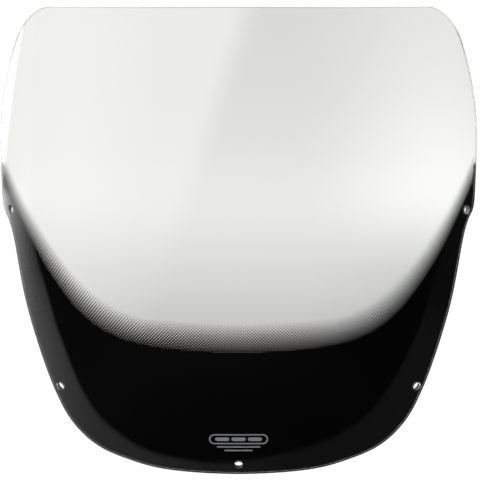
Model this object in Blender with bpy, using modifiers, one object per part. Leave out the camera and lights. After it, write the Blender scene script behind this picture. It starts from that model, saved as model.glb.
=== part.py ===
"""Motorcycle windshield screen: one thermoformed acrylic sheet with its screen-printed border.

Metres, +Z up. The outer, convex face looks towards -Y and X = 0 is the plane of symmetry.
The origin is the middle of the bottom screw hole, on the outer face.

The sheet is laid out flat first, as a trimming pattern: u is the distance measured round the
wrapped sheet from the plane of symmetry, and z is the height. on_sheet() then bends the pattern.
"""

import math

import bmesh
import bpy
from mathutils import Vector
from mathutils.geometry import delaunay_2d_cdt

MM = 0.001

# The bent form
WRAP_RADIUS = 265 * MM  # the sideways bend, the same at every height
CROWN_HEIGHT = 265 * MM  # where the middle of the sheet is upright
TUCK_SLOPE = 0.78  # how steeply the middle runs back at the bottom screw
TOP_HEIGHT = 410.6 * MM
TOP_BOW = 12 * MM  # how far the top edge falls back behind the crown

# The sheet
SHEET_THICKNESS = 4 * MM
# Half of the trimmed edge seen from the front, from the bottom centre round to the top centre:
# distance from the plane of symmetry and height.
EDGE_POINTS = [
    (0 * MM, -8.8 * MM),
    (63.5 * MM, -5.2 * MM),
    (101.5 * MM, 4.1 * MM),
    (131.5 * MM, 17.6 * MM),
    (153.7 * MM, 39.5 * MM),
    (168.4 * MM, 67.7 * MM),
    (182.6 * MM, 108 * MM),
    (195 * MM, 153 * MM),
    (204.5 * MM, 204.5 * MM),
    (209.7 * MM, 223.5 * MM),
    (215.4 * MM, 236.5 * MM),
    (217.3 * MM, 261.5 * MM),
    (218.9 * MM, 303.5 * MM),
    (215.7 * MM, 340.7 * MM),
    (206.4 * MM, 380 * MM),
    (196.1 * MM, 402 * MM),
    (178.6 * MM, 415.2 * MM),
    (152.5 * MM, 414.7 * MM),
    (90.3 * MM, 411.6 * MM),
    (0 * MM, TOP_HEIGHT),
]

# The screw holes: distance from the plane of symmetry and height, both seen from the front
HOLE_RADIUS = 4 * MM
BOTTOM_HOLE = (0 * MM, 0 * MM)
LOWER_HOLE = (163.4 * MM, 71.4 * MM)
UPPER_HOLE = (208.5 * MM, 233 * MM)
SEAT_RADIUS = 7.5 * MM  # the flat ring that a screw head presses on
SEAT_REACH = SEAT_RADIUS + 0.1 * MM  # what is bent flat, so that the ring's own corners are too

# The print, on the inner face
PRINT_THICKNESS = 0.3 * MM
PRINT_GAP = 0.3 * MM  # from the sheet, and from one print to the next
PRINT_MARGIN = 0.5 * MM  # clear rim between the print and the trimmed edge
PRINT_HOLE_RADIUS = 4.5 * MM
# Half of the line where solid black ends, and half of the line where the last dots end
SOLID_LINE = [
    (0 * MM, 100.5 * MM),
    (71 * MM, 105 * MM),
    (115.5 * MM, 116.5 * MM),
    (143.3 * MM, 135.7 * MM),
    (161 * MM, 156.2 * MM),
    (180.7 * MM, 185.6 * MM),
    (201.2 * MM, 225 * MM),
    (219 * MM, 262 * MM),
]
DOT_LINE = [
    (0 * MM, 130.5 * MM),
    (70.7 * MM, 133.9 * MM),
    (96.8 * MM, 138.5 * MM),
    (124 * MM, 152 * MM),
    (151.6 * MM, 177 * MM),
    (180.2 * MM, 216 * MM),
    (201 * MM, 251 * MM),
    (219 * MM, 289 * MM),
]

# The silver mark at the bottom centre
BADGE_CENTRE_HEIGHT = 20 * MM
BADGE_WIDTH = 55 * MM
BADGE_HEIGHT = 18.8 * MM
BADGE_CORNER = 3 * MM

# Facet sizes
EDGE_STEP = 11 * MM
FACET = 13 * MM
CROWDING = 0.65  # the nearest that a filling corner comes to a drawn line, in facets
CURVE_STEPS = 24  # fine steps between two points of an outline
SEAT_SIDES = 16
HOLE_SIDES = 32
CORNER_STEPS = 4
WELD = 0.01 * MM  # corners nearer than this are one
NUDGE = 0.1 * MM  # the small step that a tangent is measured over


def bow(height):
    """How far the middle of the sheet lies behind the crown, at a height."""
    if height > CROWN_HEIGHT:
        return TOP_BOW * ((height - CROWN_HEIGHT) / (TOP_HEIGHT - CROWN_HEIGHT)) ** 2
    drop = (CROWN_HEIGHT - height) / CROWN_HEIGHT
    return TUCK_SLOPE * CROWN_HEIGHT / 2 * drop**2


def unwrap(point):
    """Pattern place of a point given by its front-view distance from the middle and its height."""
    across, height = point
    return Vector((WRAP_RADIUS * math.asin(across / WRAP_RADIUS), height))


def outer_point(u, z):
    turn = u / WRAP_RADIUS
    back = WRAP_RADIUS * (1 - math.cos(turn)) + bow(z) - bow(0)
    return Vector((WRAP_RADIUS * math.sin(turn), back, z))


def tangents(u, z):
    """Directions along u and up the sheet, on the outer face."""
    along = outer_point(u + NUDGE, z) - outer_point(u - NUDGE, z)
    up = outer_point(u, z + NUDGE) - outer_point(u, z - NUDGE)
    return along / (2 * NUDGE), up / (2 * NUDGE)


def outward(u, z):
    along, up = tangents(u, z)
    return along.cross(up).normalized()


def hole_places():
    """The five screw holes on the pattern."""
    places = [unwrap(BOTTOM_HOLE)]
    for half in (LOWER_HOLE, UPPER_HOLE):
        for side in (-1, 1):
            across, height = half
            places.append(unwrap((side * across, height)))
    return places


def on_sheet(place, depth):
    """Bends a pattern place to its point at a depth behind the outer face, flat round each screw."""
    for hole in hole_places():
        along, up = tangents(*hole)
        offset = along * (place.x - hole.x) + up * (place.y - hole.y)
        if offset.length < SEAT_REACH:
            return outer_point(*hole) + offset - outward(*hole) * depth
    return outer_point(*place) - outward(*place) * depth


def spline_point(before, start, end, after, t):
    """Point at t from start to end on a smooth curve through four neighbours."""
    pull_in, pull_out = (end - before) / 2, (after - start) / 2
    return (
        start * (2 * t**3 - 3 * t**2 + 1)
        + pull_in * (t**3 - 2 * t**2 + t)
        + end * (3 * t**2 - 2 * t**3)
        + pull_out * (t**3 - t**2)
    )


def smooth_half(points):
    """A fine curve through half an outline whose ends may meet the plane of symmetry."""
    pattern = [unwrap(p) for p in points]
    first, last = pattern[1].copy(), pattern[-2].copy()
    first.x, last.x = -first.x, -last.x
    if pattern[-1].x > 0:
        last = 2 * pattern[-1] - pattern[-2]
    padded = [first, *pattern, last]
    curve = []
    for k in range(1, len(padded) - 2):
        corners = padded[k - 1 : k + 3]
        curve += [spline_point(*corners, i / CURVE_STEPS) for i in range(CURVE_STEPS)]
    return curve + [pattern[-1]]


def even_steps(curve, step):
    """The same curve as points about one step apart, with both ends kept."""
    lengths = [0.0]
    for a, b in zip(curve, curve[1:]):
        lengths.append(lengths[-1] + (b - a).length)
    count = max(2, round(lengths[-1] / step))
    points, k = [], 0
    for i in range(count + 1):
        target = lengths[-1] * i / count
        while k < len(curve) - 2 and lengths[k + 1] < target:
            k += 1
        share = (target - lengths[k]) / (lengths[k + 1] - lengths[k])
        points.append(curve[k].lerp(curve[k + 1], share))
    return points


def mirrored(half):
    """Copies of a half line's points on the other side of the plane of symmetry."""
    return [Vector((-p.x, p.y)) for p in half]


def moved_sideways(line, distance, closed):
    """A line moved to its left by a distance, seen with u to the right and z up."""
    moved = []
    last = len(line) - 1
    for i, p in enumerate(line):
        before = line[i - 1] if closed or i > 0 else p
        after = line[(i + 1) % len(line)] if closed or i < last else p
        run = (after - before).normalized()
        moved.append(p + Vector((-run.y, run.x)) * distance)
    return moved


def edge_loop(margin):
    """The trimmed edge as a closed loop, anticlockwise from the front, drawn in by a margin."""
    half = even_steps(smooth_half(EDGE_POINTS), EDGE_STEP)
    loop = half + mirrored(half[-2:0:-1])
    return moved_sideways(loop, margin, closed=True)


def print_line(points, rise):
    """One of the print's upper lines, from left to right, raised by a small distance."""
    half = even_steps(smooth_half(points), EDGE_STEP)
    line = mirrored(half[:0:-1]) + half
    return moved_sideways(line, rise, closed=False)


def ring(centre, radius, sides):
    """A loop on the pattern that is a true circle on the bent sheet."""
    along, up = tangents(*centre)
    lean = up.dot(along) / along.length_squared
    upright = up - along * lean
    loop = []
    for i in range(sides):
        turn = math.tau * i / sides
        climb = radius * math.sin(turn) / upright.length
        across = radius * math.cos(turn) / along.length - lean * climb
        loop.append(centre + Vector((across, climb)))
    return loop


def badge_loop(margin):
    """A rectangle with round corners, grown by a margin."""
    radius = BADGE_CORNER + margin
    across, up = BADGE_WIDTH / 2 - BADGE_CORNER, BADGE_HEIGHT / 2 - BADGE_CORNER
    loop = []
    for corner, (sx, sy) in enumerate([(1, 1), (-1, 1), (-1, -1), (1, -1)]):
        centre = Vector((sx * across, BADGE_CENTRE_HEIGHT + sy * up))
        for i in range(CORNER_STEPS + 1):
            turn = math.pi / 2 * (corner + i / CORNER_STEPS)
            loop.append(centre + radius * Vector((math.cos(turn), math.sin(turn))))
    return loop


def inside(loop, place):
    """True where a place is inside a closed loop."""
    hit = False
    for a, b in zip(loop, loop[1:] + loop[:1]):
        if (a.y > place.y) != (b.y > place.y):
            cross = a.x + (place.y - a.y) / (b.y - a.y) * (b.x - a.x)
            hit ^= place.x < cross
    return hit


def under(line, place):
    """True where a place is lower than a line that runs from left to right."""
    for a, b in zip(line, line[1:]):
        if a.x <= place.x <= b.x:
            return place.y < a.y + (place.x - a.x) / (b.x - a.x) * (b.y - a.y)
    return True


def lattice(loop):
    """Evenly staggered places over a loop's box."""
    right = max(p.x for p in loop)
    low, high = min(p.y for p in loop), max(p.y for p in loop)
    row_height = FACET * math.sqrt(3) / 2
    rows, columns = math.ceil((high - low) / row_height), math.ceil(right / FACET)
    for row in range(rows + 1):
        shift = (row % 2) / 2
        for column in range(-columns, columns + 1):
            yield Vector(((column + shift) * FACET, low + row * row_height))


def patch(loops, lines, keep):
    """Triangles over the part of the pattern that keep() accepts, with edges along loops and lines."""
    places, edges = [], []
    for chain in loops + lines:
        start = len(places)
        places += chain
        edges += [(start + i, start + i + 1) for i in range(len(chain) - 1)]
        if chain in loops:
            edges.append((len(places) - 1, start))
    drawn = list(places)
    for p in lattice(loops[0]):
        if keep(p) and min((p - q).length for q in drawn) > CROWDING * FACET:
            places.append(p)
    corners, _, faces, _, _, _ = delaunay_2d_cdt(places, edges, [], 0, WELD)
    kept = [f for f in faces if keep(sum((corners[i] for i in f), Vector((0, 0))) / 3)]
    return corners, kept


def bent_object(name, pattern, depth, thickness, material):
    """A pattern bent at a depth behind the outer face, and thickened inwards."""
    corners, faces = pattern
    bm = bmesh.new()
    verts = [bm.verts.new(on_sheet(c, depth)) for c in corners]
    for face in faces:
        bm.faces.new([verts[i] for i in face])
    loose = [v for v in bm.verts if not v.link_faces]
    bmesh.ops.delete(bm, geom=loose, context="VERTS")
    mesh = bpy.data.meshes.new(name)
    bm.to_mesh(mesh)
    bm.free()
    mesh.materials.append(material)
    mesh.shade_smooth()
    obj = bpy.data.objects.new(name, mesh)
    parts.objects.link(obj)
    solidify = obj.modifiers.new("thickness", "SOLIDIFY")
    solidify.thickness = thickness
    solidify.offset = -1
    solidify.use_even_offset = True
    return obj


def hole_cutter(name, hole, radius):
    """A rod through the sheet, square to its face at a screw hole."""
    length = 30 * MM
    bpy.ops.mesh.primitive_cylinder_add(vertices=HOLE_SIDES, radius=radius, depth=length)
    cutter = bpy.context.active_object
    cutter.name = name
    cutter.location = outer_point(*hole)
    cutter.rotation_euler = outward(*hole).to_track_quat("Z", "Y").to_euler()
    cutter.hide_render = True
    cutter.display_type = "WIRE"
    for collection in list(cutter.users_collection):
        collection.objects.unlink(cutter)
    cutters.objects.link(cutter)
    return cutter


def drill(obj, radius):
    """Cuts the five screw holes through an object."""
    for number, hole in enumerate(hole_places()):
        cut = obj.modifiers.new(f"hole_{number}", "BOOLEAN")
        cut.operation = "DIFFERENCE"
        cut.solver = "EXACT"
        cut.object = hole_cutter(f"{obj.name}_drill_{number}", hole, radius)


def finish_material(name, color, roughness, metallic=0.0, transmission=0.0):
    material = bpy.data.materials.new(name)
    material.use_nodes = True
    shader = material.node_tree.nodes["Principled BSDF"]
    shader.inputs["Base Color"].default_value = (*color, 1)
    shader.inputs["Roughness"].default_value = roughness
    shader.inputs["Metallic"].default_value = metallic
    shader.inputs["Transmission Weight"].default_value = transmission
    return material


def make_sheet():
    edge = edge_loop(0)
    seats = [ring(hole, SEAT_RADIUS, SEAT_SIDES) for hole in hole_places()]
    acrylic = finish_material("clear_acrylic", (0.93, 0.95, 0.93), 0.03, transmission=1.0)
    pattern = patch([edge, *seats], [], lambda p: inside(edge, p))
    drill(bent_object("screen_sheet", pattern, 0, SHEET_THICKNESS, acrylic), HOLE_RADIUS)


def make_border(depth, ink):
    edge = edge_loop(PRINT_MARGIN)
    top = print_line(SOLID_LINE, -PRINT_GAP / 2)
    window = badge_loop(PRINT_GAP)
    seats = [ring(hole, SEAT_RADIUS, SEAT_SIDES) for hole in hole_places()]

    def keep(p):
        return inside(edge, p) and under(top, p) and not inside(window, p)

    pattern = patch([edge, window, *seats], [top], keep)
    drill(bent_object("border_print", pattern, depth, PRINT_THICKNESS, ink), PRINT_HOLE_RADIUS)


def make_fade(depth, ink):
    edge = edge_loop(PRINT_MARGIN)
    low = print_line(SOLID_LINE, PRINT_GAP / 2)
    high = print_line(DOT_LINE, 0)

    def keep(p):
        return inside(edge, p) and under(high, p) and not under(low, p)

    bent_object("fade_print", patch([edge], [low, high], keep), depth, PRINT_THICKNESS, ink)


def make_badge(depth):
    silver = finish_material("silver_ink", (0.62, 0.62, 0.64), 0.35, metallic=0.8)
    loop = badge_loop(0)
    pattern = patch([loop], [], lambda p: inside(loop, p))
    bent_object("badge_print", pattern, depth, PRINT_THICKNESS, silver)


for old in list(bpy.data.objects):
    bpy.data.objects.remove(old)

parts = bpy.data.collections.new("windshield_screen")
cutters = bpy.data.collections.new("cutters")
bpy.context.scene.collection.children.link(parts)
bpy.context.scene.collection.children.link(cutters)

print_depth = SHEET_THICKNESS + PRINT_GAP
black = finish_material("black_ink", (0.012, 0.012, 0.014), 0.12)
dots = finish_material("dotted_black_ink", (0.1, 0.1, 0.1), 0.15)
make_sheet()
make_border(print_depth, black)
make_fade(print_depth, dots)
make_badge(print_depth)
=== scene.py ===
"""Looks of the motorcycle windshield screen: clear acrylic sheet, black border print, dot fade, badge.

Every piece is drawn flat first, as on the trimming pattern: u is the distance measured round the
wrapped sheet from the plane of symmetry and z is the height. bend() then gives the point in space.
The bend and the outlines repeat the CAD part's own dimensions, in metres.
"""

import math

import bmesh
import bpy
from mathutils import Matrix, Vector
from mathutils.geometry import delaunay_2d_cdt


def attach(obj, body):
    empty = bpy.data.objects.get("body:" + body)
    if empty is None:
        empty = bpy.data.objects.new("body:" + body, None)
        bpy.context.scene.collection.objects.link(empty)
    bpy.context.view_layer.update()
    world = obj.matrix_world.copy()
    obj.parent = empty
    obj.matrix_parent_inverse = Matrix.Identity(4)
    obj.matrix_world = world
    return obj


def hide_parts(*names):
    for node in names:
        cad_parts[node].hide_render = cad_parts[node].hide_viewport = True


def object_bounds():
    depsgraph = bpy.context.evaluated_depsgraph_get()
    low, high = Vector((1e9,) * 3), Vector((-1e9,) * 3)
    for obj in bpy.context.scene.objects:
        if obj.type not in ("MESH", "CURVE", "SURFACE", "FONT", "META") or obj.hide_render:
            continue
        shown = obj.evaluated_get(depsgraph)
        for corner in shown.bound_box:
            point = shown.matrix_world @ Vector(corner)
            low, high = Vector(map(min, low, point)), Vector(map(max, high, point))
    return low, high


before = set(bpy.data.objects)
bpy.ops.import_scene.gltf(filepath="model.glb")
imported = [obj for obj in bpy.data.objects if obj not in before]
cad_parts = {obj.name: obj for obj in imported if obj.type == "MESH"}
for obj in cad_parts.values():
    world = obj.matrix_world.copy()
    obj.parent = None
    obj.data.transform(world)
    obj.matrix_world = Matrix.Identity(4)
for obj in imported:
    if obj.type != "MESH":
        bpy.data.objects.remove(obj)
cad_low, cad_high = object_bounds()

MM = 0.001

# The bent form, as in the CAD part
WRAP_RADIUS = 265 * MM
CROWN_HEIGHT = 265 * MM
TUCK_SLOPE = 0.78
TOP_HEIGHT = 410.6 * MM
TOP_BOW = 12 * MM
SHEET_THICKNESS = 4 * MM
EDGE_POINTS = [
    (0 * MM, -8.8 * MM),
    (63.5 * MM, -5.2 * MM),
    (101.5 * MM, 4.1 * MM),
    (131.5 * MM, 17.6 * MM),
    (153.7 * MM, 39.5 * MM),
    (168.4 * MM, 67.7 * MM),
    (182.6 * MM, 108 * MM),
    (195 * MM, 153 * MM),
    (204.5 * MM, 204.5 * MM),
    (209.7 * MM, 223.5 * MM),
    (215.4 * MM, 236.5 * MM),
    (217.3 * MM, 261.5 * MM),
    (218.9 * MM, 303.5 * MM),
    (215.7 * MM, 340.7 * MM),
    (206.4 * MM, 380 * MM),
    (196.1 * MM, 402 * MM),
    (178.6 * MM, 415.2 * MM),
    (152.5 * MM, 414.7 * MM),
    (90.3 * MM, 411.6 * MM),
    (0 * MM, TOP_HEIGHT),
]
HOLE_RADIUS = 4 * MM
BOTTOM_HOLE = (0 * MM, 0 * MM)
LOWER_HOLE = (163.4 * MM, 71.4 * MM)
UPPER_HOLE = (208.5 * MM, 233 * MM)
SOLID_LINE = [
    (0 * MM, 100.5 * MM),
    (71 * MM, 105 * MM),
    (115.5 * MM, 116.5 * MM),
    (143.3 * MM, 135.7 * MM),
    (161 * MM, 156.2 * MM),
    (180.7 * MM, 185.6 * MM),
    (201.2 * MM, 225 * MM),
    (219 * MM, 262 * MM),
]
DOT_LINE = [
    (0 * MM, 130.5 * MM),
    (70.7 * MM, 133.9 * MM),
    (96.8 * MM, 138.5 * MM),
    (124 * MM, 152 * MM),
    (151.6 * MM, 177 * MM),
    (180.2 * MM, 216 * MM),
    (201 * MM, 251 * MM),
    (219 * MM, 289 * MM),
]
BADGE_CENTRE_HEIGHT = 20 * MM

# Fine surfaces
CURVE_STEPS = 24  # between two of an outline's points
EDGE_STEP = 3 * MM
FACET = 5 * MM
CLEARANCE = 0.6  # how near to an edge a facet's corner may lie, as a share of the facet
WELD = 0.001 * MM  # corners nearer than this become one
EDGE_ROUNDING = 0.12 * MM
HOLE_ROUNDING = 0.15 * MM
ROUNDING_STEPS = 4
HOLE_SIDES = 40

ACRYLIC_IOR = 1.49

# The badge: an emblem over two rules, of bars with round ends, each given as its width and height
EMBLEM_RISE = 3.5 * MM
EMBLEM_OUTSIDE = (54 * MM, 9.6 * MM)
EMBLEM_INSIDE = (51.4 * MM, 7.2 * MM)
PILL_SIZE = (13 * MM, 3.4 * MM)
PILL_PITCH = 15 * MM
RULE_SIZES = [(40 * MM, 1.2 * MM), (26 * MM, 1.2 * MM)]
RULE_DROPS = [7.4 * MM, 10.8 * MM]  # how far the rules lie below the emblem's middle
BADGE_STEP = 2 * MM
END_STEPS = 12
RULE_END_STEPS = 6

# The ink, on the inner face: its front is just inside the sheet, so that no air shows between them
INK_FRONT = SHEET_THICKNESS - 0.08 * MM
INK_BACK = SHEET_THICKNESS + 0.06 * MM
BADGE_FRONT = SHEET_THICKNESS - 0.16 * MM
BADGE_BACK = SHEET_THICKNESS - 0.1 * MM
PRINT_MARGIN = 0.14 * MM
PRINT_HOLE_RADIUS = 4.05 * MM

# The halftone: staggered dots, with half a cell between columns and between rows
DOT_COLUMN = 1.45 * MM
DOT_ROW = 1.3 * MM
DOT_SPREAD = 2.0  # how fast the cells grow upwards, per metre
DOT_RISE = 0.25  # how fast the rows curve up sideways, per metre
SMALLEST_DOT = 0.22 * MM
MOST_APART = 0.46  # the largest share of a cell that a lone dot or hole fills
ROUND_UP_TO = 0.25  # dots that fill more of their cell than this turn into diamonds
DOT_SIDES = 10
FADE_POWER = 1.5  # the dots shrink slowly at first, then fast

# Studio
CAMERA_DISTANCE = 2.4
SENSOR_WIDTH = 36.0
FARTHEST_SEEN = 50.0
SEEN_WIDTH = 420 * MM  # what the picture is wide, at the crown
VIEW_HEIGHT = 205.5 * MM
VIEW_SIDE = 1.3 * MM
FLOOR_HEIGHT = -0.3
FLOOR_SIZE = 6.0
WHITE = 1.1  # what lights the piece and stands behind it
WHITE_THROUGH = 0.82  # the same, seen through the clear sheet
BACKDROP_BEHIND = 0.9
BACKDROP_SIZE = 1.2
BACKDROP_TINT = (1.0, 1.0, 0.993, 1.0)
# How bright the backdrop's painted light and shade are, at heights that run from -1 to 1 over what the
# camera sees
BACKDROP_LEVEL = [
    (-0.45, 0.54),
    (-0.25, 0.663),
    (-0.1, 0.755),
    (0.03, 0.825),
    (0.17, 0.86),
    (0.35, 0.82),
    (0.6, 0.765),
    (1.0, 0.735),
]
# The lit walls that the gloss reflects, at heights from -1 to 1: how far back they start, and the
# left one's brightness there and how fast it grows towards the back
WALL_START = [
    (-1.0, -0.17),
    (-0.92, -0.13),
    (-0.78, -0.085),
    (-0.5, -0.055),
    (-0.3, 0.0),
    (-0.15, 0.07),
    (1.0, 0.07),
]
WALL_LEVEL = [(-1.0, 0.3), (-0.75, 0.4), (-0.5, 0.54), (-0.35, 0.47), (-0.25, 0.29), (1.0, 0.2)]
WALL_GROWTH = [(-1.0, 0.0), (-0.75, 0.56), (-0.5, 3.1), (-0.35, 4.8), (-0.15, 10.0), (1.0, 10.0)]
WALL_MOST = 3.0
WINDOW_LEVEL = 4.0  # how much brighter a window makes the left wall
# How bright the camera's own side is, from the far left to the far right
FRONT_LEVEL = [(-1.0, 0.6), (-0.7, 0.7), (-0.2, 1.0), (0.1, 0.95), (0.7, 0.3), (1.0, 0.3)]
LAMP_PLACE = (-1.3, -1.6, 2.2)
LAMP_AIM = (0, 0, 0.2)
LAMP_SIZE = 1.6
LAMP_WATTS = 25.0


# ---------------------------------------------------------------- the bent form


def bow(height):
    """How far the middle of the sheet lies behind the crown, at a height."""
    if height > CROWN_HEIGHT:
        return TOP_BOW * ((height - CROWN_HEIGHT) / (TOP_HEIGHT - CROWN_HEIGHT)) ** 2
    drop = (CROWN_HEIGHT - height) / CROWN_HEIGHT
    return TUCK_SLOPE * CROWN_HEIGHT / 2 * drop**2


def unwrap(point):
    """The place on the pattern of a point seen from the front."""
    across, height = point
    return Vector((WRAP_RADIUS * math.asin(across / WRAP_RADIUS), height))


def outer_point(u, z):
    """Where a place on the pattern lies on the bent sheet's outer face."""
    turn = u / WRAP_RADIUS
    back = WRAP_RADIUS * (1 - math.cos(turn)) + bow(z) - bow(0)
    return Vector((WRAP_RADIUS * math.sin(turn), back, z))


def tangents(place):
    """Directions along u and up the sheet at a place on the pattern."""
    nudge = 0.1 * MM
    along = outer_point(place.x + nudge, place.y) - outer_point(place.x - nudge, place.y)
    up = outer_point(place.x, place.y + nudge) - outer_point(place.x, place.y - nudge)
    return along / (2 * nudge), up / (2 * nudge)


def outward(place):
    along, up = tangents(place)
    return along.cross(up).normalized()


def bend(place, depth):
    """The point at a depth below the outer face."""
    return outer_point(*place) - outward(place) * depth


def hole_places():
    places = [unwrap(BOTTOM_HOLE)]
    for across, height in (LOWER_HOLE, UPPER_HOLE):
        places += [unwrap((-across, height)), unwrap((across, height))]
    return places


# ---------------------------------------------------------------- lines on the pattern


def spline_point(before, start, end, after, t):
    """A point from start, at t = 0, to end, at t = 1, on a smooth curve through all four points."""
    pull_in, pull_out = (end - before) / 2, (after - start) / 2
    return (
        start * (2 * t**3 - 3 * t**2 + 1)
        + pull_in * (t**3 - 2 * t**2 + t)
        + end * (3 * t**2 - 2 * t**3)
        + pull_out * (t**3 - t**2)
    )


def smooth_half(points):
    """A fine curve through half an outline whose ends may meet the plane of symmetry."""
    pattern = [unwrap(p) for p in points]
    first = Vector((-pattern[1].x, pattern[1].y))
    if pattern[-1].x > 0:
        last = 2 * pattern[-1] - pattern[-2]
    else:
        last = Vector((-pattern[-2].x, pattern[-2].y))
    padded = [first, *pattern, last]
    curve = []
    for k in range(1, len(padded) - 2):
        nearby = padded[k - 1 : k + 3]
        curve += [spline_point(*nearby, i / CURVE_STEPS) for i in range(CURVE_STEPS)]
    return curve + [pattern[-1]]


def even_steps(curve, step):
    """The same curve as points about one step apart, with both ends kept."""
    lengths = [0.0]
    for a, b in zip(curve, curve[1:]):
        lengths.append(lengths[-1] + (b - a).length)
    count = max(2, round(lengths[-1] / step))
    points, k = [], 0
    for i in range(count + 1):
        target = lengths[-1] * i / count
        while k < len(curve) - 2 and lengths[k + 1] < target:
            k += 1
        share = (target - lengths[k]) / (lengths[k + 1] - lengths[k])
        points.append(curve[k].lerp(curve[k + 1], share))
    return points


def mirrored(half):
    return [Vector((-p.x, p.y)) for p in half]


def drawn_in(loop, margin):
    """An anticlockwise loop moved inwards by a margin."""
    moved = []
    for before, p, after in zip(loop[-1:] + loop, loop, loop[1:] + loop[:1]):
        run = (after - before).normalized()
        moved.append(p + Vector((-run.y, run.x)) * margin)
    return moved


def edge_loop(margin):
    half = even_steps(smooth_half(EDGE_POINTS), EDGE_STEP)
    return drawn_in(half + mirrored(half[-2:0:-1]), margin)


def print_line(points):
    """One of the print's lines, from left to right."""
    half = even_steps(smooth_half(points), EDGE_STEP)
    return mirrored(half[:0:-1]) + half


def ring(centre, radius, sides):
    """An anticlockwise loop on the pattern that is a true circle on the bent sheet."""
    along, up = tangents(centre)
    lean = up.dot(along) / along.length_squared
    upright = up - along * lean
    loop = []
    for i in range(sides):
        turn = math.tau * i / sides
        climb = radius * math.sin(turn) / upright.length
        across = radius * math.cos(turn) / along.length - lean * climb
        loop.append(centre + Vector((across, climb)))
    return loop


def inside(loop, place):
    """Whether a line from a place to the right crosses a closed loop an odd number of times."""
    hit = False
    for a, b in zip(loop, loop[1:] + loop[:1]):
        if (a.y > place.y) != (b.y > place.y):
            cross = a.x + (place.y - a.y) / (b.y - a.y) * (b.x - a.x)
            hit ^= place.x < cross
    return hit


def height_at(line, u):
    """Height of a line that runs from left to right, at a distance u from the middle."""
    low, high = 0, len(line) - 1
    while high - low > 1:
        middle = (low + high) // 2
        if line[middle].x <= u:
            low = middle
        else:
            high = middle
    a, b = line[low], line[high]
    return a.y + (u - a.x) / (b.x - a.x) * (b.y - a.y)


# ---------------------------------------------------------------- meshes


class Spots:
    """Points sorted into square bins, to find the near ones quickly."""

    def __init__(self, size):
        self.size = size
        self.bins = {}

    def key(self, p):
        return math.floor(p.x / self.size), math.floor(p.y / self.size)

    def add(self, p):
        self.bins.setdefault(self.key(p), []).append(p)

    def near(self, p, distance):
        column, row = self.key(p)
        for i in (column - 1, column, column + 1):
            for j in (row - 1, row, row + 1):
                for q in self.bins.get((i, j), ()):
                    if (p - q).length < distance:
                        return True
        return False


def lattice(loop, step):
    """Evenly staggered places over a loop's box."""
    right = max(p.x for p in loop)
    low, high = min(p.y for p in loop), max(p.y for p in loop)
    row_height = step * math.sqrt(3) / 2
    rows, columns = math.ceil((high - low) / row_height), math.ceil(right / step)
    for row in range(rows + 1):
        shift = (row % 2) / 2
        for column in range(-columns, columns + 1):
            yield Vector(((column + shift) * step, low + row * row_height))


def patch(loops, lines, keep, step=FACET):
    """Triangles over what keep() accepts, with edges along closed loops and open lines."""
    places, edges = [], []
    spots = Spots(step)
    for chain, closed in [(c, True) for c in loops] + [(c, False) for c in lines]:
        start = len(places)
        places += chain
        edges += [(start + i, start + i + 1) for i in range(len(chain) - 1)]
        if closed:
            edges.append((len(places) - 1, start))
        for p in chain:
            spots.add(p)
    for p in lattice(loops[0], step):
        if not spots.near(p, CLEARANCE * step) and keep(p):
            places.append(p)
    corners, _, faces, _, _, _ = delaunay_2d_cdt(places, edges, [], 0, WELD)
    kept = [f for f in faces if keep(sum((corners[i] for i in f), Vector((0, 0))) / 3)]
    return corners, kept


def rim_of(corners, faces):
    """Border edges of a patch, each with the patch to its left, and outward directions of corners."""
    border = {}
    for f in faces:
        for a, b in zip(f, f[1:] + f[:1]):
            if (b, a) in border:
                del border[(b, a)]
            else:
                border[(a, b)] = True  # a dictionary keeps the order, which a set doesn't
    directions = {}
    for a, b in border:
        run = (corners[b] - corners[a]).normalized()
        for corner in (a, b):
            directions[corner] = directions.get(corner, Vector((0, 0))) + Vector((run.y, -run.x))
    return list(border), {corner: d.normalized() for corner, d in directions.items()}


def rounded_profile(radius, thickness):
    """Steps round an edge from the outer face to the inner face: how far out, how deep, which way."""
    steps = []
    for half, level in ((0, radius), (1, thickness - radius)):
        for i in range(ROUNDING_STEPS + 1):
            turn = math.pi / 2 * (half + i / ROUNDING_STEPS)
            steps.append((radius * math.sin(turn), level - radius * math.cos(turn), turn))
    return steps


def closed_piece(name, pattern, profile_at, materials, back_slot=0):
    """A closed solid from a pattern: its outer face, its inner face and the rim between them.

    profile_at(place) gives the rim's steps, as many at every place, and the rim's material slot."""
    corners, faces = pattern
    border, directions = rim_of(corners, faces)
    bm = bmesh.new()
    layers, normals = {}, []
    for i in sorted({i for f in faces for i in f}):
        place = corners[i]
        out = outward(place)
        steps, _ = profile_at(place)
        lean = Vector()
        if i in directions:
            along, up = tangents(place)
            side = directions[i]
            lean = (along * (side.x / along.length) + up * (side.y / up.length)).normalized()
        else:
            steps = (steps[0], steps[-1])
        layers[i] = []
        for outset, depth, turn in steps:
            layers[i].append(bm.verts.new(bend(place, depth) + lean * outset))
            normals.append(out * math.cos(turn) + lean * math.sin(turn))
    for f in faces:
        bm.faces.new([layers[i][0] for i in f])
        inner = bm.faces.new([layers[i][-1] for i in reversed(f)])
        inner.material_index = back_slot
    for a, b in border:
        _, rim_slot = profile_at(corners[a])
        for k in range(len(layers[a]) - 1):
            quad = (layers[a][k], layers[a][k + 1], layers[b][k + 1], layers[b][k])
            bm.faces.new(quad).material_index = rim_slot
    mesh = bpy.data.meshes.new(name)
    bm.to_mesh(mesh)
    bm.free()
    for material in materials:
        mesh.materials.append(material)
    mesh.shade_smooth()
    mesh.normals_split_custom_set_from_vertices(normals)
    piece = bpy.data.objects.new(name, mesh)
    bpy.context.scene.collection.objects.link(piece)
    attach(piece, "root")
    return piece


# ---------------------------------------------------------------- materials


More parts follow.
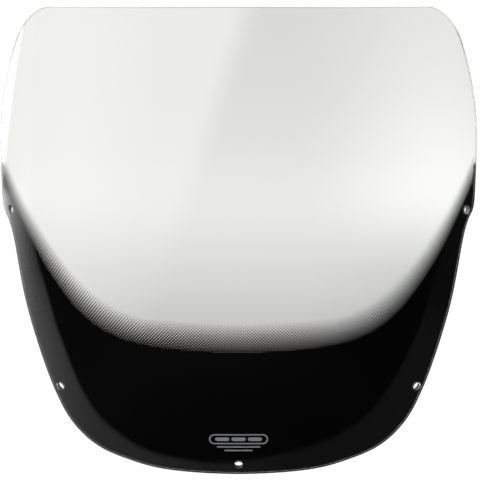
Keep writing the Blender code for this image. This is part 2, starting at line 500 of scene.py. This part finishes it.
def link(tree, value, socket):
    """Sets a socket to a number, or links it to another node's output."""
    if isinstance(value, bpy.types.NodeSocket):
        tree.links.new(value, socket)
    else:
        socket.default_value = value


def calculate(tree, operation, a, b):
    node = tree.nodes.new("ShaderNodeMath")
    node.operation = operation
    link(tree, a, node.inputs[0])
    link(tree, b, node.inputs[1])
    return node.outputs[0]


def smooth_range(tree, value, low, high, out_low=0.0, out_high=1.0):
    """A smooth step from out_low where the value is low to out_high where it is high."""
    node = tree.nodes.new("ShaderNodeMapRange")
    node.interpolation_type = "SMOOTHSTEP"
    link(tree, value, node.inputs["Value"])
    link(tree, low, node.inputs["From Min"])
    link(tree, high, node.inputs["From Max"])
    node.inputs["To Min"].default_value = out_low
    node.inputs["To Max"].default_value = out_high
    return node.outputs["Result"]


def add(tree, a, b):
    return calculate(tree, "ADD", a, b)


def multiply(tree, a, b):
    return calculate(tree, "MULTIPLY", a, b)


def curve_through(tree, value, points):
    """A smooth curve of a value from -1 to 1, through (value, result) points."""
    node = tree.nodes.new("ShaderNodeValToRGB")
    node.color_ramp.interpolation = "CARDINAL"
    elements = node.color_ramp.elements
    shares = [(at + 1) / 2 for at, _ in points]
    elements[0].position, elements[1].position = shares[0], shares[-1]
    for share in shares[1:-1]:
        elements.new(share)
    results = [result for _, result in points]
    least, most = min(results), max(results)
    for element, result in zip(elements, results):
        level = (result - least) / (most - least)
        element.color = (level, level, level, 1)
    link(tree, multiply(tree, add(tree, value, 1.0), 0.5), node.inputs[0])
    return add(tree, multiply(tree, node.outputs[0], most - least), least)


def noise(tree, scale, detail=2.0):
    place = tree.nodes.new("ShaderNodeTexCoord")
    node = tree.nodes.new("ShaderNodeTexNoise")
    node.inputs["Scale"].default_value = scale
    node.inputs["Detail"].default_value = detail
    tree.links.new(place.outputs["Object"], node.inputs["Vector"])
    return node.outputs["Fac"]


def new_material(name):
    material = bpy.data.materials.new(name)
    material.use_nodes = True
    return material, material.node_tree, material.node_tree.nodes["Principled BSDF"]


def bumped(tree, shader, height, strength, distance):
    bump = tree.nodes.new("ShaderNodeBump")
    bump.inputs["Strength"].default_value = strength
    bump.inputs["Distance"].default_value = distance
    tree.links.new(height, bump.inputs["Height"])
    tree.links.new(bump.outputs["Normal"], shader.inputs["Normal"])


def two_colours(tree, share, first, second):
    mix = tree.nodes.new("ShaderNodeMix")
    mix.data_type = "RGBA"
    tree.links.new(share, mix.inputs["Factor"])
    mix.inputs["A"].default_value = (*first, 1)
    mix.inputs["B"].default_value = (*second, 1)
    return mix.outputs["Result"]


def acrylic():
    """Polished clear sheet, with the faint haze and waviness of thermoforming."""
    material, tree, shader = new_material("clear_acrylic")
    haze = noise(tree, 9.0)
    colour = two_colours(tree, haze, (0.97, 0.97, 0.965), (0.988, 0.988, 0.985))
    tree.links.new(colour, shader.inputs["Base Color"])
    tree.links.new(smooth_range(tree, haze, 0.3, 0.8, 0.0, 0.02), shader.inputs["Roughness"])
    shader.inputs["Transmission Weight"].default_value = 1.0
    shader.inputs["IOR"].default_value = ACRYLIC_IOR
    bumped(tree, shader, noise(tree, 14.0, 0.0), 0.05, 0.5 * MM)
    return material


def edge_acrylic():
    """The trimmed edge, polished to a fine satin."""
    material, tree, shader = new_material("edge_acrylic")
    grain = noise(tree, 400.0, 2.0)
    colour = two_colours(tree, grain, (0.95, 0.96, 0.95), (0.98, 0.99, 0.98))
    tree.links.new(colour, shader.inputs["Base Color"])
    tree.links.new(smooth_range(tree, grain, 0.2, 0.8, 0.15, 0.3), shader.inputs["Roughness"])
    shader.inputs["Transmission Weight"].default_value = 1.0
    shader.inputs["IOR"].default_value = ACRYLIC_IOR
    bumped(tree, shader, grain, 0.1, 0.05 * MM)
    return material


def drilled_acrylic_painted_shade():
    """The frosted wall that a drill leaves, darkened with painted shade."""
    material, tree, shader = new_material("drilled_acrylic_painted_shade")
    grain = noise(tree, 1200.0, 2.0)
    # the dark grey base colour is painted shade for the dim inside of the holes; the grain's spread is
    # the frosting's own
    colour = two_colours(tree, grain, (0.2, 0.19, 0.21), (0.3, 0.28, 0.31))
    tree.links.new(colour, shader.inputs["Base Color"])
    tree.links.new(smooth_range(tree, grain, 0.2, 0.8, 0.45, 0.65), shader.inputs["Roughness"])
    shader.inputs["Transmission Weight"].default_value = 1.0
    shader.inputs["IOR"].default_value = ACRYLIC_IOR
    bumped(tree, shader, grain, 0.2, 0.05 * MM)
    return material


def black_ink_in_contact():
    """The ink seen through the sheet: no air between them, so it has no gloss of its own."""
    material, tree, shader = new_material("black_ink_in_contact")
    colour = two_colours(tree, noise(tree, 60.0), (0.0003, 0.0003, 0.0004), (0.0006, 0.0006, 0.0007))
    tree.links.new(colour, shader.inputs["Base Color"])
    shader.inputs["Roughness"].default_value = 0.9
    shader.inputs["Specular IOR Level"].default_value = 0.0
    return material


def black_ink_back():
    """The ink's own satin face, on the rider's side."""
    material, tree, shader = new_material("black_ink_back")
    grain = noise(tree, 900.0, 3.0)
    colour = two_colours(tree, grain, (0.006, 0.006, 0.007), (0.012, 0.012, 0.013))
    tree.links.new(colour, shader.inputs["Base Color"])
    tree.links.new(smooth_range(tree, grain, 0.2, 0.8, 0.3, 0.42), shader.inputs["Roughness"])
    bumped(tree, shader, grain, 0.15, 0.05 * MM)
    return material


def silver_ink():
    material, tree, shader = new_material("silver_ink")
    grain = noise(tree, 700.0, 2.0)
    colour = two_colours(tree, grain, (0.42, 0.42, 0.44), (0.62, 0.62, 0.65))
    tree.links.new(colour, shader.inputs["Base Color"])
    shader.inputs["Roughness"].default_value = 0.5
    shader.inputs["Specular IOR Level"].default_value = 0.2
    return material


# ---------------------------------------------------------------- the pieces


def make_sheet():
    """The clear sheet, with its trimmed edge and five holes polished round."""
    holes = hole_places()
    edge = edge_loop(EDGE_ROUNDING)
    rings = [ring(h, HOLE_RADIUS + HOLE_ROUNDING, HOLE_SIDES) for h in holes]

    def keep(p):
        return inside(edge, p) and not any(inside(r, p) for r in rings)

    # the rims' material slots are 1 at the edge and 2 in the holes
    edge_rim = (rounded_profile(EDGE_ROUNDING, SHEET_THICKNESS), 1)
    hole_rim = (rounded_profile(HOLE_ROUNDING, SHEET_THICKNESS), 2)
    reach = HOLE_RADIUS + 3 * HOLE_ROUNDING

    def profile_at(place):
        near_hole = any((place - h).length < reach for h in holes)
        return hole_rim if near_hole else edge_rim

    pattern = patch([edge, *rings], [], keep)
    clear = [acrylic(), edge_acrylic(), drilled_acrylic_painted_shade()]
    sheet = closed_piece("clear_sheet", pattern, profile_at, clear)
    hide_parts("screen_sheet")


def coverage(solid, dotted, place):
    """How much of the pattern is inked at a place: 1 on solid black, 0 past the last dots."""
    low, high = height_at(solid, place.x), height_at(dotted, place.x)
    share = (place.y - low) / (high - low)
    return 1 - share**FADE_POWER if share > 0 else 1.0


def cell_growth(height):
    """How much larger the halftone's cells are at a height than at the middle of the solid line."""
    return math.sqrt(1 + 2 * DOT_SPREAD * (height - SOLID_LINE[0][1]))


def dot_place(column, row):
    """Where a cell of the halftone lies on the pattern."""
    u = column * DOT_COLUMN
    climb = row * DOT_ROW + u * u * DOT_RISE
    height = SOLID_LINE[0][1] + climb * (1 + climb * DOT_SPREAD / 2)
    return Vector((u * (1 + climb * DOT_SPREAD), height))


def dot_cell(place):
    """Column and row, as numbers with a fraction, of a place on the pattern."""
    growth = cell_growth(place.y)
    u = place.x / growth
    climb = (growth - 1) / DOT_SPREAD
    return u / DOT_COLUMN, (climb - u * u * DOT_RISE) / DOT_ROW


def dot_loop(centre, share):
    """A halftone dot or hole of a share of its cell: round when small, a diamond near a half."""
    squareness = max(0.0, (share - ROUND_UP_TO) / (0.5 - ROUND_UP_TO))
    power = 2 - squareness
    loop = []
    for i in range(DOT_SIDES):
        turn = math.tau * i / DOT_SIDES
        c, s = math.cos(turn), math.sin(turn)
        reach = (abs(c) ** power + abs(s) ** power) ** (-1 / power)
        loop.append(Vector((c, s)) * reach)
    area = sum(a.cross(b) for a, b in zip(loop, loop[1:] + loop[:1])) / 2
    size = math.sqrt(2 * share / area) * cell_growth(centre.y)
    return [centre + Vector((p.x * DOT_COLUMN, p.y * DOT_ROW)) * size for p in loop]


def halftone(odd, solid, dotted, edge):
    """One of the two sets of cells inside the print: column, row, place and ink coverage."""
    columns = math.ceil(dot_cell(dotted[-1])[0]) + 1
    lowest = math.floor(min(dot_cell(p)[1] for p in solid))
    highest = math.ceil(max(dot_cell(p)[1] for p in dotted))
    for i in range(-columns, columns + 1):
        for j in range(lowest, highest + 1):
            place = dot_place(i, j)
            if (i + j) % 2 != odd or abs(place.x) >= solid[-1].x:
                continue
            ink = coverage(solid, dotted, place)
            if 0 < ink < 1 and inside(edge, place):
                yield i, j, place, ink


def halftone_loops(solid, dotted, middle, edge):
    """Outlines of the holes in the border and of the dots that join it, by cell, and of lone dots."""
    smallest = math.pi * SMALLEST_DOT**2 / (2 * DOT_COLUMN * DOT_ROW)
    holes, joined, lone = {}, {}, []
    for i, j, place, ink in halftone(1, solid, dotted, edge):
        if place.y < height_at(middle, place.x) + DOT_ROW and 1 - ink > smallest:
            holes[(i, j)] = dot_loop(place, min(1 - ink, MOST_APART))
    for i, j, place, ink in halftone(0, solid, dotted, edge):
        if ink > smallest:
            loop = dot_loop(place, min(ink, MOST_APART))
            above = [p.y > height_at(middle, p.x) for p in loop]
            if all(above):
                lone.append(loop)
            elif any(above):
                joined[(i, j)] = loop
    return holes, joined, lone


def in_cells(cells, p):
    """Whether a place lies inside the outline of one of the cells around it."""
    across, up = dot_cell(p)
    i, j = math.floor(across), math.floor(up)
    for key in ((i, j), (i + 1, j), (i, j + 1), (i + 1, j + 1)):
        if key in cells and inside(cells[key], p):
            return True
    return False


def film_profile(front, back, slot):
    """The rim of a thin layer of ink, the same at every place."""
    steps = [(0.0, front, 0.0), (0.0, back, math.pi)]
    return lambda place: (steps, slot)


def make_prints():
    """The black border, pierced by growing holes, and the lone dots above it."""
    edge, inner_edge = edge_loop(PRINT_MARGIN), edge_loop(PRINT_MARGIN + DOT_COLUMN)
    solid, dotted = print_line(SOLID_LINE), print_line(DOT_LINE)
    # up to where the ink still joins up: half of the pattern is inked there
    joining = 0.5 ** (1 / FADE_POWER)
    middle = [p.lerp(Vector((p.x, height_at(dotted, p.x))), joining) for p in solid]
    rings = [ring(h, PRINT_HOLE_RADIUS, HOLE_SIDES) for h in hole_places()]
    holes, joined, lone = halftone_loops(solid, dotted, middle, inner_edge)

    def keep(p):
        if not inside(edge, p) or any(inside(r, p) for r in rings):
            return False
        if p.y < height_at(middle, p.x):
            return not in_cells(holes, p)
        return in_cells(joined, p)

    pattern = patch([edge, *rings, *holes.values(), *joined.values()], [middle], keep)
    film = film_profile(INK_FRONT, INK_BACK, 1)
    inks = [black_ink_in_contact(), black_ink_back()]
    border = closed_piece("black_border", pattern, film, inks, 1)
    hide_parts("border_print")

    corners, faces = [], []
    for loop in lone:
        start = len(corners)
        corners += loop
        faces += [(start, start + i, start + i + 1) for i in range(1, len(loop) - 1)]
    dots = closed_piece("fade_dots", (corners, faces), film, inks, 1)
    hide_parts("fade_print")


def stadium(centre, size, steps=END_STEPS):
    """An anticlockwise bar with round ends, its straight sides in short steps to follow the bend."""
    width, height = size
    radius = height / 2
    straight = width / 2 - radius
    pieces = math.ceil(2 * straight / BADGE_STEP)
    loop = []
    for side in (0, 1):
        sign = 1 - 2 * side
        middle = centre + Vector((straight * sign, 0))
        for i in range(steps + 1):
            turn = math.pi * (side + i / steps) - math.pi / 2
            loop.append(middle + radius * Vector((math.cos(turn), math.sin(turn))))
        for i in range(1, pieces):
            across = sign * straight * (1 - 2 * i / pieces)
            loop.append(centre + Vector((across, sign * radius)))
    return loop


def make_badge():
    """A plain silver mark of our own: a round-ended ring round three pills, over two thin rules."""
    emblem = Vector((0, BADGE_CENTRE_HEIGHT + EMBLEM_RISE))
    outer = stadium(emblem, EMBLEM_OUTSIDE)
    inner = stadium(emblem, EMBLEM_INSIDE)
    bars = [stadium(emblem + Vector((k * PILL_PITCH, 0)), PILL_SIZE) for k in (-1, 0, 1)]
    for size, drop in zip(RULE_SIZES, RULE_DROPS):
        bars.append(stadium(emblem - Vector((0, drop)), size, RULE_END_STEPS))

    def keep(p):
        in_ring = inside(outer, p) and not inside(inner, p)
        return in_ring or any(inside(bar, p) for bar in bars)

    pattern = patch([outer, inner, *bars], [], keep, BADGE_STEP)
    film = film_profile(BADGE_FRONT, BADGE_BACK, 0)
    badge = closed_piece("silver_mark", pattern, film, [silver_ink()])
    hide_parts("badge_print")


# ---------------------------------------------------------------- studio


def make_camera():
    lens = bpy.data.cameras.new("camera")
    lens.sensor_width = SENSOR_WIDTH
    lens.lens = SENSOR_WIDTH * CAMERA_DISTANCE / SEEN_WIDTH
    lens.clip_end = FARTHEST_SEEN
    camera = bpy.data.objects.new("camera", lens)
    camera.location = (VIEW_SIDE, cad_low.y - CAMERA_DISTANCE, VIEW_HEIGHT)
    camera.rotation_euler = (math.pi / 2, 0, 0)
    bpy.context.scene.collection.objects.link(camera)
    bpy.context.scene.camera = camera


def make_floor():
    bpy.ops.mesh.primitive_plane_add(size=FLOOR_SIZE, location=(0, 0, FLOOR_HEIGHT))
    floor = bpy.context.active_object
    floor.name = "floor"
    material, tree, shader = new_material("pale_floor")
    colour = two_colours(tree, noise(tree, 3.0), (0.93, 0.93, 0.93), (0.95, 0.95, 0.95))
    tree.links.new(colour, shader.inputs["Base Color"])
    shader.inputs["Roughness"].default_value = 0.9
    floor.data.materials.append(material)
    floor.visible_glossy = False
    floor.visible_transmission = False


def coordinates(tree, output):
    """The three parts of one of the texture coordinates."""
    where = tree.nodes.new("ShaderNodeTexCoord")
    split = tree.nodes.new("ShaderNodeSeparateXYZ")
    tree.links.new(where.outputs[output], split.inputs[0])
    return split.outputs


def backdrop_level(tree, across, up):
    """How bright the backdrop's painted light is; across and up run from -1 to 1 over what the camera
    sees.
    """
    # painted light to the right in the upper half, painted shade to the right in the lower half
    rightness = smooth_range(tree, across, 0.2, 0.95)
    upper = smooth_range(tree, up, -0.2, 0.25)
    upper = multiply(tree, upper, smooth_range(tree, up, 0.2, 1.1, 0.3, 0.2))
    right = multiply(tree, rightness, calculate(tree, "SUBTRACT", upper, 0.09))
    # painted light to the left of a slanted edge, and more so far to the left
    slant = calculate(tree, "SUBTRACT", across, multiply(tree, up, 0.32))
    leftness = smooth_range(tree, slant, -0.2, -0.36)
    left_gain = smooth_range(tree, up, -0.2, 0.9, 0.02, 0.15)
    far_left = smooth_range(tree, across, -0.3, -0.75, 0.0, 0.05)
    left = multiply(tree, leftness, add(tree, left_gain, far_left))
    return add(tree, curve_through(tree, up, BACKDROP_LEVEL), add(tree, right, left))


def make_backdrop():
    """A backdrop glowing with painted light and painted shade, which shows only through the clear
    sheet.
    """
    place = (VIEW_SIDE, BACKDROP_BEHIND, VIEW_HEIGHT)
    turn = (math.pi / 2, 0, 0)
    bpy.ops.mesh.primitive_plane_add(size=BACKDROP_SIZE, location=place, rotation=turn)
    backdrop = bpy.context.active_object
    backdrop.name = "backdrop"
    material = bpy.data.materials.new("backdrop_painted_light")
    material.use_nodes = True
    tree = material.node_tree
    tree.nodes.clear()
    x, y, _ = coordinates(tree, "Object")
    seen = SEEN_WIDTH / 2 * (CAMERA_DISTANCE + BACKDROP_BEHIND - cad_low.y) / CAMERA_DISTANCE
    across = calculate(tree, "DIVIDE", x, seen)
    up = calculate(tree, "DIVIDE", y, seen)
    # the backdrop glows: its light and shade are painted into the emission, not cast by a lamp
    glow = tree.nodes.new("ShaderNodeEmission")
    glow.inputs["Color"].default_value = BACKDROP_TINT
    tree.links.new(backdrop_level(tree, across, up), glow.inputs["Strength"])
    output = tree.nodes.new("ShaderNodeOutputMaterial")
    tree.links.new(glow.outputs[0], output.inputs["Surface"])
    backdrop.data.materials.append(material)
    backdrop.visible_camera = False
    backdrop.visible_glossy = False
    backdrop.visible_diffuse = False
    backdrop.visible_shadow = False


def left_wall(tree, y, z, beyond):
    """Brightness of the left wall: dull at its front, with a bright window further back."""
    depth = calculate(tree, "MAXIMUM", beyond, 0.0)
    growth = multiply(tree, depth, curve_through(tree, z, WALL_GROWTH))
    growth = multiply(tree, growth, smooth_range(tree, z, 0.03, -0.05))
    wall = add(tree, curve_through(tree, z, WALL_LEVEL), growth)
    wall = calculate(tree, "MINIMUM", wall, WALL_MOST)
    # the window leans, and its front side is soft above the horizon
    slanted = multiply(tree, calculate(tree, "MAXIMUM", z, 0.0), 1.15)
    slanted = add(tree, slanted, y)
    soft_side = smooth_range(tree, z, -0.03, 0.02, 0.27, 0.41)
    wall = add(tree, wall, smooth_range(tree, slanted, soft_side, 0.43, 0.0, WINDOW_LEVEL))
    # the far back is plain white
    to_white = calculate(tree, "SUBTRACT", 1.0, wall)
    return add(tree, wall, multiply(tree, to_white, smooth_range(tree, y, 0.5, 0.8)))


def reflected_studio(tree, x, y, z):
    """How bright the studio is that the gloss reflects, in a direction with parts from -1 to 1."""
    beyond = calculate(tree, "SUBTRACT", y, curve_through(tree, z, WALL_START))
    # low on the right the lit side reaches further forward
    rightness = smooth_range(tree, x, -0.2, 0.4)
    reach = multiply(tree, rightness, smooth_range(tree, z, -0.4, -0.75, 0.0, 0.045))
    beyond = add(tree, beyond, reach)
    lit = smooth_range(tree, beyond, -0.012, 0.016)
    left = left_wall(tree, y, z, beyond)
    # the right wall is dim, and dimmer near the horizon
    right = smooth_range(tree, z, -0.5, -0.28, 0.08, 0.03)
    leftness = smooth_range(tree, x, 0.3, -0.5)
    wall = multiply(tree, calculate(tree, "SUBTRACT", left, right), leftness)
    lit_wall = multiply(tree, lit, add(tree, wall, right))
    # the camera's side is nearly black, more so straight below
    below = smooth_range(tree, z, -0.95, -0.72, 0.035, 0.08)
    dark = multiply(tree, below, curve_through(tree, x, FRONT_LEVEL))
    return add(tree, dark, lit_wall)


def background(tree, level):
    node = tree.nodes.new("ShaderNodeBackground")
    node.inputs["Color"].default_value = (1, 1, 1, 1)
    link(tree, level, node.inputs["Strength"])
    return node.outputs[0]


def make_world():
    """A white studio, with a darker side where the camera stands, which only the gloss shows."""
    world = bpy.data.worlds.new("studio")
    bpy.context.scene.world = world
    world.use_nodes = True
    tree = world.node_tree
    tree.nodes.clear()
    reflected = reflected_studio(tree, *coordinates(tree, "Generated"))
    path = tree.nodes.new("ShaderNodeLightPath")
    seen = background(tree, WHITE)
    for rays, level in (("Is Glossy Ray", reflected), ("Is Transmission Ray", WHITE_THROUGH)):
        mix = tree.nodes.new("ShaderNodeMixShader")
        tree.links.new(path.outputs[rays], mix.inputs[0])
        tree.links.new(seen, mix.inputs[1])
        tree.links.new(background(tree, level), mix.inputs[2])
        seen = mix.outputs[0]
    output = tree.nodes.new("ShaderNodeOutputWorld")
    tree.links.new(seen, output.inputs["Surface"])


def make_lamp():
    soft = bpy.data.lights.new("softbox", "AREA")
    soft.shape = "SQUARE"
    soft.size = LAMP_SIZE
    soft.energy = LAMP_WATTS
    lamp = bpy.data.objects.new("softbox", soft)
    lamp.location = LAMP_PLACE
    aim = Vector(LAMP_AIM) - lamp.location
    lamp.rotation_euler = aim.to_track_quat("-Z", "Y").to_euler()
    lamp.visible_glossy = False
    lamp.visible_transmission = False
    bpy.context.scene.collection.objects.link(lamp)


make_camera()
make_sheet()
make_prints()
make_badge()
make_floor()
make_backdrop()
make_world()
make_lamp()
bpy.context.scene.view_settings.view_transform = "Standard"
